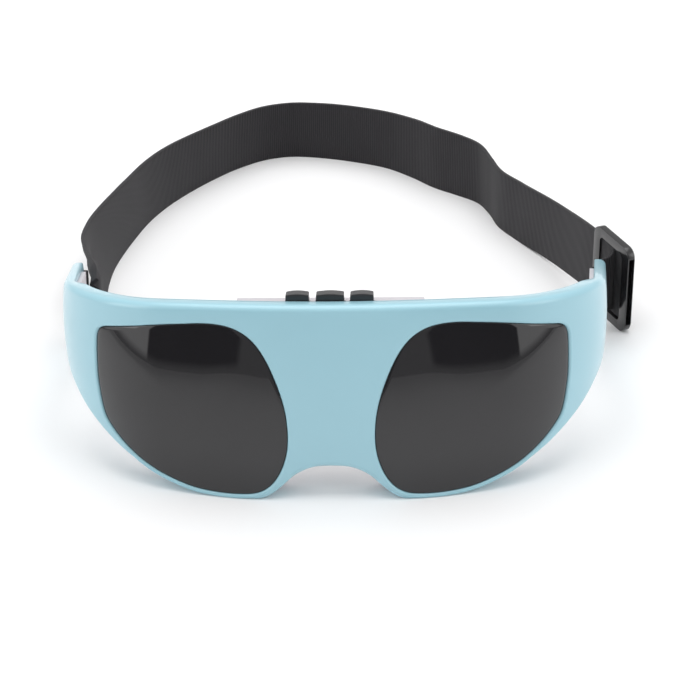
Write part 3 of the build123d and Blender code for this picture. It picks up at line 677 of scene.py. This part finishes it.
def ribbon(name, line, even, rows, place, width, thickness, closed=False):
    # woven band: a grid whose rows run along the band, given its thickness afterwards
    clearSelection()
    n = len(line)
    bpy.ops.mesh.primitive_grid_add(x_subdivisions=n - 1, y_subdivisions=rows, size=2)
    obj = bpy.context.active_object
    obj.name = name
    obj.data.name = name
    obj.data.materials.append(finishes["strapElastic"])
    co = points(obj)
    u = np.rint((co[:, 0] + 1) / 2 * (n - 1)).astype(int)
    v = (co[:, 1] + 1) / 2
    uv = obj.data.uv_layers.active.data
    loops = np.zeros(len(obj.data.loops), int)
    obj.data.loops.foreach_get("vertex_index", loops)
    for i, k in enumerate(loops):
        uv[i].uv = (even[u[k]] / 1000, v[k] * width / 1000)
    setPoints(obj, tableToStanding(place(u, v)))
    if closed:
        alone(obj)
        bpy.ops.object.mode_set(mode="EDIT")
        bpy.ops.mesh.select_all(action="SELECT")
        bpy.ops.mesh.remove_doubles(threshold=0.00002)
        bpy.ops.object.mode_set(mode="OBJECT")
    wall = obj.modifiers.new("thickness", "SOLIDIFY")
    wall.thickness, wall.offset = thickness / 1000, 0
    edge = obj.modifiers.new("softEdge", "BEVEL")
    edge.width, edge.segments, edge.limit_method = thickness / 1000 * 0.3, 2, "ANGLE"
    edge.angle_limit = math.radians(50)
    applyAll(obj)
    smooth(obj, 50)
    return obj


def outOf(line):
    tangent = np.gradient(line, axis=0)
    tangent /= np.linalg.norm(tangent, axis=1)[:, None]
    return np.stack([tangent[:, 1], -tangent[:, 0]], -1)


def headStrap():
    line, even = evenRoute(strapShape["route"], strapShape["spacing"])
    normal, share = outOf(line), even / even[-1]
    table = np.array(strapShape["edges"], float).T
    low, high, lowOut, highOut = (smoothLine(table[0], table[k], share) for k in range(1, 5))
    rng = np.random.default_rng(7)
    rising = np.convolve(rng.normal(0, 1, len(line) + 40), np.hanning(41) / 20, mode="valid")
    leaning = np.convolve(rng.normal(0, 1, len(line) + 40), np.hanning(41) / 20, mode="valid")
    calm = np.clip((share - 0.13) / 0.05, 0, 1) * np.clip((0.9 - share) / 0.05, 0, 1)
    high = high + strapShape["wander"] * rising * calm
    pleatFrom, pleatTo = strapShape["pleatFrom"], strapShape["pleatTo"]
    gather = strapShape["pleatDepth"] * np.clip((share - pleatFrom) / (pleatTo - pleatFrom), 0, 1) ** 1.2

    def place(u, v):
        z = low[u] + (high[u] - low[u]) * v
        wave = np.sin(v * strapShape["pleats"] * 2 * math.pi + 27.0 * share[u])
        out = lowOut[u] + (highOut[u] - lowOut[u]) * v + gather[u] * wave
        out = out + strapShape["wander"] * leaning[u] * np.sin(v * math.pi * 1.5) * calm[u]
        x = line[u, 0] + normal[u, 0] * out
        y = line[u, 1] + normal[u, 1] * out
        return np.stack([x, y, z], -1)

    obj = ribbon("headStrap", line, even, strapShape["rows"], place, 25.0, strapShape["thickness"])
    co = points(obj)
    co[:, 2] = np.maximum(co[:, 2], 0.0)
    setPoints(obj, co)
    return stand(obj, "mask", "elastic_strap")


loopShape = {"low": 29.1, "high": 46.4, "outside": 0.45, "inside": 4.25, "thickness": 0.8, "rows": 10}


def armLoop(word, side):
    # gathered end sewn round the bar behind the arm's slot
    length = caseLength() * 1000
    stops = ((87.6, loopShape["outside"]), (92, loopShape["outside"]), (96.2, loopShape["outside"]),
             (97.3, 2.2), (96.4, loopShape["inside"]), (92, loopShape["inside"]),
             (87.4, loopShape["inside"]), (86.3, 2.3))
    s = np.array([(length - (96 - y)) / 1000 for y, d in stops]) * side
    ring = onPlan(s, np.array([d / 1000 for y, d in stops]), 0 * s)[:, :2] * 1000
    line, even = evenRoute(ring, 0.8, closed=True)

    def place(u, v):
        z = loopShape["low"] + (loopShape["high"] - loopShape["low"]) * v
        upright = np.stack([line[u, 0], line[u, 1], z + 0.25 * np.sin(even[u] * 0.9)], -1) / 1000
        return uprightToTable(upright)

    obj = ribbon("strapLoop_" + word, line, even, loopShape["rows"], place, 18.0,
                 loopShape["thickness"], True)
    return stand(obj, "mask", "strap_end_" + word)


def returnBand():
    # short run from the right arm's bar to the slider's middle bar
    s = np.array([(caseLength() * 1000 + 2.0) / 1000])
    arm = uprightToTable(onPlan(s, np.array([0.0030]), np.array([0.03775])))[0]
    end = np.array([99.6 - 4.2, 106.6 + 6.4])
    route = [(arm[0], arm[1]), (arm[0] + 0.6, arm[1] + 3.0), (end[0] - 2.2, end[1] - 4.0), (end[0], end[1])]
    line, even = evenRoute(route, 0.9)
    share = even / even[-1]
    low = arm[2] - 8.6 + (3.9 - (arm[2] - 8.6)) * share
    high = arm[2] + 8.6 + (27.6 - (arm[2] + 8.6)) * share

    def place(u, v):
        return np.stack([line[u, 0], line[u, 1], low[u] + (high[u] - low[u]) * v], -1)

    obj = ribbon("returnBand", line, even, 14, place, 24.0, 0.9)
    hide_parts("strap_return")
    first, last = (tableToStanding(np.array([p[0], p[1], 15.0])) for p in (line[0], line[-1]))
    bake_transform(obj)


headStrap()
armLoop("left", -1)
armLoop("right", 1)
returnBand()
softened("strapSlider", "strap_slider", "sliderBlack", "slider", 0.0007)
print("strap made")

# keys

keyShape = {"arch": 0.0004, "taper": 0.0003, "edge": 0.00055, "divisions": 14}


def pushKey(name, node, body):
    upright = toUpright(points(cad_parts[node]))
    top = upright[:, 2].max()
    cap = upright[upright[:, 2] > top - 0.002]
    low, high = cap.min(0), cap.max(0)
    base = upright[:, 2].min()
    clearSelection()
    bpy.ops.mesh.primitive_cube_add(size=2)
    obj = bpy.context.active_object
    obj.name = name
    obj.data.name = name
    obj.data.materials.append(finishes["keyBlack"])
    alone(obj)
    bpy.ops.object.mode_set(mode="EDIT")
    bpy.ops.mesh.select_all(action="SELECT")
    bpy.ops.mesh.subdivide(number_cuts=keyShape["divisions"])
    bpy.ops.object.mode_set(mode="OBJECT")
    co = points(obj)
    half = (high - low) / 2
    middle = (high + low) / 2
    x, y, z = co[:, 0], co[:, 1], (co[:, 2] + 1) / 2
    narrow = 1 - keyShape["taper"] / half[0] * z
    narrowY = 1 - keyShape["taper"] / half[1] * z * 0.7
    arch = keyShape["arch"] * (1 - x ** 2) * z
    shaped = np.stack([middle[0] + x * half[0] * narrow, middle[1] + y * half[1] * narrowY,
                       base + (top - keyShape["arch"] * 0.6 - base) * z + arch], -1)
    setPoints(obj, toStanding(shaped))
    roundEdges(obj, keyShape["edge"], 4, 50)
    smooth(obj, 60)
    return stand(obj, body, node)


for key in ("power", "mode", "speed"):
    pushKey(key + "Key", key + "_button", key + "_key")
softened("backCover", "rear_cover", "coverGrey", "mask", 0.0006, 3, 45)
softened("batteryDoor", "battery_door", "coverGrey", "door", 0.0004, 2, 45)
print("keys and cover made")

# camera, floor and light

# angles in degrees, lens and sensor in millimetres, and the view's shift as shares of its width
view = {"distance": 0.640, "yaw": 2.14, "elevation": 32.0, "roll": -1.39, "sensor": 36.0, "lens": 111.976,
        "aim": (0.0, 0.00624, 0.02934), "shift": (0.01267, 0.10309)}


def addCamera():
    yaw, high, roll = (math.radians(view[k]) for k in ("yaw", "elevation", "roll"))
    ahead = Vector((-math.sin(yaw) * math.cos(high), math.cos(yaw) * math.cos(high), -math.sin(high)))
    up = Vector((-math.sin(yaw) * math.sin(high), math.cos(yaw) * math.sin(high), math.cos(high)))
    right = ahead.cross(up)
    rightRolled = math.cos(roll) * right + math.sin(roll) * up
    upRolled = -math.sin(roll) * right + math.cos(roll) * up
    target = Vector(view["aim"]) + Vector(stance["shift"])
    data = bpy.data.cameras.new("camera")
    data.sensor_width, data.lens = view["sensor"], view["lens"]
    camera = bpy.data.objects.new("camera", data)
    bpy.context.scene.collection.objects.link(camera)
    place = target - ahead * view["distance"]
    turn = Matrix((rightRolled, upRolled, -ahead)).transposed()
    camera.matrix_world = Matrix.Translation(place) @ turn.to_4x4()
    data.shift_x, data.shift_y = view["shift"]
    data.clip_end = 20
    bpy.context.scene.camera = camera


studio = {"floorSize": 6.0, "floorColour": (0.93, 0.93, 0.935)}


def addFloor():
    clearSelection()
    bpy.ops.mesh.primitive_plane_add(size=studio["floorSize"], location=(0, 0, 0))
    floor = bpy.context.active_object
    floor.name = "studioFloor"
    material, nodes, links, shader, coords = newMaterial("floorPaper", studio["floorColour"], 0.7)
    n = noise(nodes, links, coords, 3.0)
    tone = ramp(nodes, links, n.outputs["Fac"], [(0.0, scaled(studio["floorColour"], 0.99)),
                                                 (1.0, studio["floorColour"])])
    links.new(tone.outputs["Color"], shader.inputs["Base Color"])
    floor.data.materials.append(material)


def addLight(name, place, target, size, power, sizeY=None):
    data = bpy.data.lights.new(name, "AREA")
    data.shape = "RECTANGLE"
    data.size, data.size_y = size, sizeY or size
    data.energy = power
    light = bpy.data.objects.new(name, data)
    bpy.context.scene.collection.objects.link(light)
    direction = Vector(target) - Vector(place)
    light.matrix_world = Matrix.Translation(place) @ direction.to_track_quat("-Z", "Y").to_matrix().to_4x4()


studioLight = {"strength": 1.0, "front": 0.42, "gap": 0.10, "side": 1.35, "back": 0.6, "above": 0.8,
               "gapFrom": 12.0, "gapTo": 44.0, "sideTo": 85.0, "topWatts": 3.6,
               "sideWatts": 1.2}


def addWorld():
    # softboxes stand at both sides, with a dark gap between each and the grey wall in front
    world = bpy.data.worlds.new("studioWorld")
    bpy.context.scene.world = world
    world.use_nodes = True
    nodes, links = world.node_tree.nodes, world.node_tree.links
    background = nodes["Background"]
    coords = nodes.new("ShaderNodeTexCoord")
    split = nodes.new("ShaderNodeSeparateXYZ")
    links.new(coords.outputs["Generated"], split.inputs["Vector"])

    def maths(kind, first, second=None):
        m = nodes.new("ShaderNodeMath")
        m.operation = kind
        for socket, value in zip(m.inputs, (first, second)):
            if value is None:
                continue
            if isinstance(value, (int, float)):
                socket.default_value = value
            else:
                links.new(value, socket)
        return m.outputs[0]

    across = maths("ABSOLUTE", split.outputs["X"])
    ahead = maths("MULTIPLY", split.outputs["Y"], -1.0)
    turn = maths("DIVIDE", maths("ARCTAN2", across, ahead), math.pi)
    a, b, c = (studioLight[k] / 180 for k in ("gapFrom", "gapTo", "sideTo"))
    grey = [tuple([studioLight[k]] * 3) for k in ("front", "gap", "side", "back", "above")]
    around = ramp(nodes, links, turn, [(0.0, grey[0]), (a - 0.008, grey[0]), (a + 0.004, grey[1]),
                                       (b, grey[1]), (b + 0.006, grey[2]), (c, grey[2]),
                                       (c + 0.05, grey[3])])
    low = ramp(nodes, links, maths("ADD", maths("MULTIPLY", split.outputs["Z"], 0.5), 0.5),
               [(0.5, (0, 0, 0)), (0.52, (1, 1, 1))])
    high = ramp(nodes, links, split.outputs["Z"], [(0.55, (0, 0, 0)), (0.75, (1, 1, 1))])
    near = nodes.new("ShaderNodeMix")
    near.data_type = "RGBA"
    near.inputs["A"].default_value = (*grey[0], 1)
    links.new(low.outputs["Color"], near.inputs["Factor"])
    links.new(around.outputs["Color"], near.inputs["B"])
    over = nodes.new("ShaderNodeMix")
    over.data_type = "RGBA"
    over.inputs["B"].default_value = (*grey[4], 1)
    links.new(high.outputs["Color"], over.inputs["Factor"])
    links.new(near.outputs["Result"], over.inputs["A"])
    links.new(over.outputs["Result"], background.inputs["Color"])
    background.inputs["Strength"].default_value = studioLight["strength"]


addCamera()
addFloor()
addWorld()
addLight("topBox", (0.0, 0.10, 0.75), (0, 0.08, 0), 0.7, studioLight["topWatts"], sizeY=0.8)
addLight("leftBox", (-0.9, -0.35, 0.5), (0, -0.05, 0.03), 0.5, studioLight["sideWatts"])
addLight("rightBox", (0.9, -0.35, 0.5), (0, -0.05, 0.03), 0.5, studioLight["sideWatts"])
bpy.context.scene.view_settings.view_transform = "Standard"
print("studio set")
